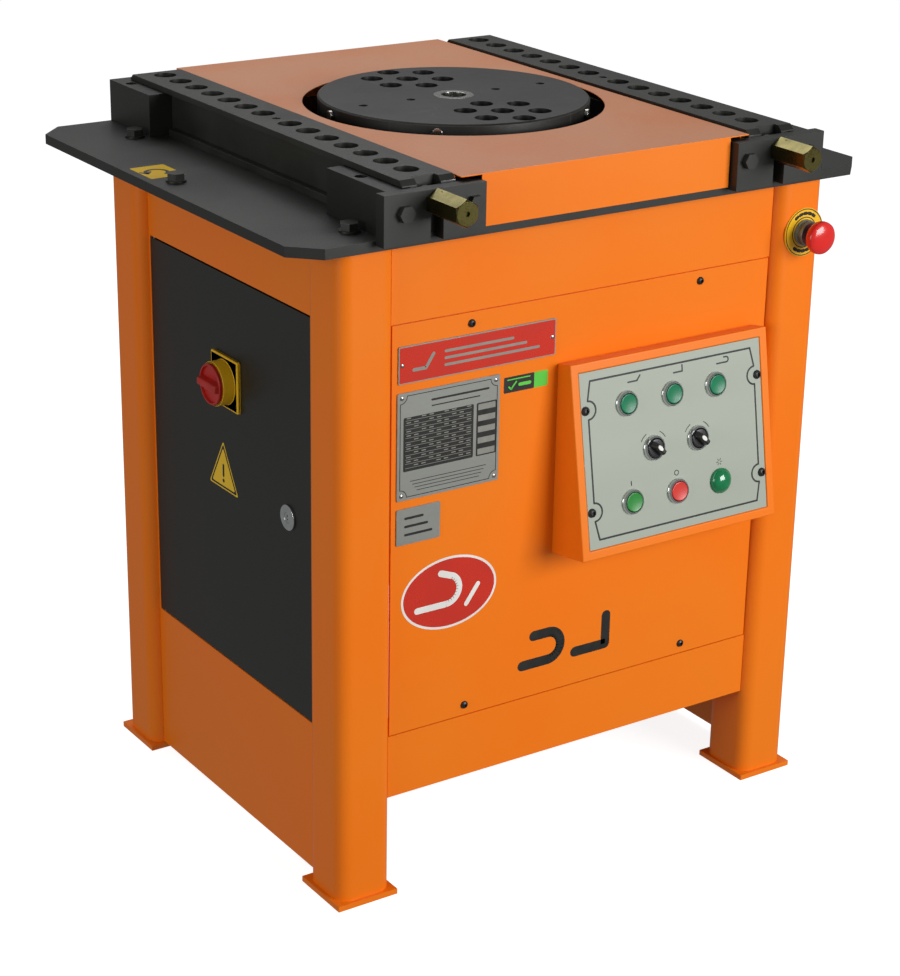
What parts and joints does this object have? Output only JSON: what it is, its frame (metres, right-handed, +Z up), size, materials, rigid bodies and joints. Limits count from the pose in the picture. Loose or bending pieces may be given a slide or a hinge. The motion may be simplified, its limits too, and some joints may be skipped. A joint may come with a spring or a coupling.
{
  "type": "rebar bender",
  "caption": "Floor-standing rebar bending table with a geared pin turntable, two sliding socket rails, a sloped control box and an electrical door",
  "frame": {"origin": "on the floor, under the middle of the whole table", "axes": "X to the right, Y to the back, Z up; the control panel faces -Y"},
  "size_m": [0.796, 0.724, 0.874],
  "materials": {
    "orange_paint": "orange gloss enamel over sheet and tube",
    "black_paint": "black satin enamel",
    "black_steel": "blackened machined steel",
    "steel": "machined steel",
    "zinc": "yellow zinc plated steel",
    "bronze": "bearing bronze",
    "iron": "grey cast iron, painted",
    "belt_rubber": "black rubber belt",
    "grey_panel": "light grey panel",
    "chrome_ring": "chrome bezel",
    "green_plastic": "green cap",
    "red_plastic": "red cap",
    "black_plastic": "black plastic",
    "yellow_plastic": "yellow plastic",
    "alu": "anodised plate"
  },
  "bodies": {
    "cabinet": {"legs": "orange_paint", "front_top_rail": "orange_paint", "front_bottom_rail": "orange_paint", "front_cover": "orange_paint", "left_side_panel": "orange_paint", "right_side_panel": "orange_paint", "back_panel": "orange_paint", "top_cover": "orange_paint", "control_box": "orange_paint", "base_plate": "black_paint", "corner_blocks": "black_steel", "rail_guides": "black_steel", "left_front_plate": "black_steel", "right_front_plate": "black_steel", "hex_bolts": "black_steel", "cover_screws": "black_steel", "motor_hanger": "steel", "electrical_plate": "steel", "hinge_pins": "steel", "shaft_bushes": "bronze", "gear_case": "iron", "drive_belts": "belt_rubber", "motor_body": "alu", "rating_plates": "alu", "control_panel": "grey_panel", "button_bezels": "chrome_ring", "power_lamp": "green_plastic", "cable_gland": "black_plastic", "switchgear": "black_plastic", "estop_label": "yellow_plastic", "estop_collar": "yellow_plastic"},
    "turntable": {"turntable_disc": "black_steel", "trip_screws": "steel", "centre_bush": "steel", "main_shaft": "steel", "main_gear": "steel"},
    "pinion": {"pinion_shaft": "steel", "driven_pulley": "iron"},
    "motor_rotor": {"motor_shaft": "steel", "motor_pulley": "iron"},
    "left_slide": {"left_rail": "black_steel"},
    "right_slide": {"right_rail": "black_steel"},
    "left_screw": {"left_spindle": "steel", "left_hex_head": "zinc"},
    "right_screw": {"right_spindle": "steel", "right_hex_head": "zinc"},
    "program_one": {"p1_cap": "green_plastic"},
    "program_two": {"p2_cap": "green_plastic"},
    "program_three": {"p3_cap": "green_plastic"},
    "start": {"on_cap": "green_plastic"},
    "stop": {"off_cap": "red_plastic"},
    "direction_switch": {"left_selector": "black_plastic"},
    "mode_switch": {"right_selector": "black_plastic"},
    "emergency_stem": {"estop_stem": "black_plastic"},
    "emergency_head": {"estop_head": "red_plastic"},
    "door": {"door": "black_paint", "isolator_base": "yellow_plastic", "door_lock": "steel"},
    "isolator": {"isolator_handle": "red_plastic"},
    "lock": {"lock_cam": "steel"}
  },
  "joints": [
    {"name": "turntable_spin", "type": "hinge", "parent": "cabinet", "child": "turntable", "pos_m": [0, 0.022, 0.85], "axis": [0, 0, 1], "continuous": true},
    {"name": "pinion_spin", "type": "hinge", "parent": "cabinet", "child": "pinion", "pos_m": [0.156, 0.022, 0.73], "axis": [0, 0, 1], "continuous": true},
    {"name": "motor_spin", "type": "hinge", "parent": "cabinet", "child": "motor_rotor", "pos_m": [-0.08, 0.022, 0.65], "axis": [0, 0, 1], "continuous": true},
    {"name": "left_rail_slide", "type": "slide", "parent": "cabinet", "child": "left_slide", "axis": [0, 1, 0], "range_m": [0, 0.012]},
    {"name": "left_spindle_turn", "type": "hinge", "parent": "cabinet", "child": "left_screw", "pos_m": [-0.238, -0.289, 0.845], "axis": [0, -1, 0], "range_deg": [0, 1081]},
    {"name": "right_rail_slide", "type": "slide", "parent": "cabinet", "child": "right_slide", "axis": [0, 1, 0], "range_m": [0, 0.012]},
    {"name": "right_spindle_turn", "type": "hinge", "parent": "cabinet", "child": "right_screw", "pos_m": [0.238, -0.289, 0.845], "axis": [0, -1, 0], "range_deg": [0, 1081]},
    {"name": "program_one_push", "type": "slide", "parent": "cabinet", "child": "program_one", "axis": [0, 0.9859, -0.1672], "range_m": [0, 0.003], "stiffness_N_per_m": 800},
    {"name": "program_two_push", "type": "slide", "parent": "cabinet", "child": "program_two", "axis": [0, 0.9859, -0.1672], "range_m": [0, 0.003], "stiffness_N_per_m": 800},
    {"name": "program_three_push", "type": "slide", "parent": "cabinet", "child": "program_three", "axis": [0, 0.9859, -0.1672], "range_m": [0, 0.003], "stiffness_N_per_m": 800},
    {"name": "start_push", "type": "slide", "parent": "cabinet", "child": "start", "axis": [0, 0.9859, -0.1672], "range_m": [0, 0.003], "stiffness_N_per_m": 800},
    {"name": "stop_push", "type": "slide", "parent": "cabinet", "child": "stop", "axis": [0, 0.9859, -0.1672], "range_m": [0, 0.003], "stiffness_N_per_m": 800},
    {"name": "direction_turn", "type": "hinge", "parent": "cabinet", "child": "direction_switch", "pos_m": [0.071, -0.30651, 0.50883], "axis": [0, -0.9859, 0.1672], "range_deg": [-90, 0]},
    {"name": "mode_turn", "type": "hinge", "parent": "cabinet", "child": "mode_switch", "pos_m": [0.137, -0.30651, 0.50883], "axis": [0, -0.9859, 0.1672], "range_deg": [-90, 0]},
    {"name": "emergency_push", "type": "slide", "parent": "cabinet", "child": "emergency_stem", "axis": [0, 1, 0], "range_m": [0, 0.006]},
    {"name": "emergency_release", "type": "hinge", "parent": "emergency_stem", "child": "emergency_head", "pos_m": [0.31, -0.276, 0.73], "axis": [0, 1, 0], "range_deg": [0, 45]},
    {"name": "door_swing", "type": "hinge", "parent": "cabinet", "child": "door", "pos_m": [-0.3224, 0.191, 0.69], "axis": [0, 0, -1], "range_deg": [0, 100]},
    {"name": "isolator_turn", "type": "hinge", "parent": "door", "child": "isolator", "pos_m": [-0.3264, 0.004, 0.57], "axis": [-1, 0, 0], "range_deg": [-90, 0]},
    {"name": "lock_turn", "type": "hinge", "parent": "door", "child": "lock", "pos_m": [-0.3264, -0.138, 0.446], "axis": [-1, 0, 0], "range_deg": [0, 90]}
  ],
  "couplings": [
    {"joint": "pinion_spin", "follows": "turntable_spin", "ratio": -3.3333},
    {"joint": "motor_spin", "follows": "turntable_spin", "ratio": -8.4909},
    {"joint": "left_spindle_turn", "follows": "left_rail_slide", "rad_per_m": 1570.8},
    {"joint": "right_spindle_turn", "follows": "right_rail_slide", "rad_per_m": 1570.8}
  ]
}
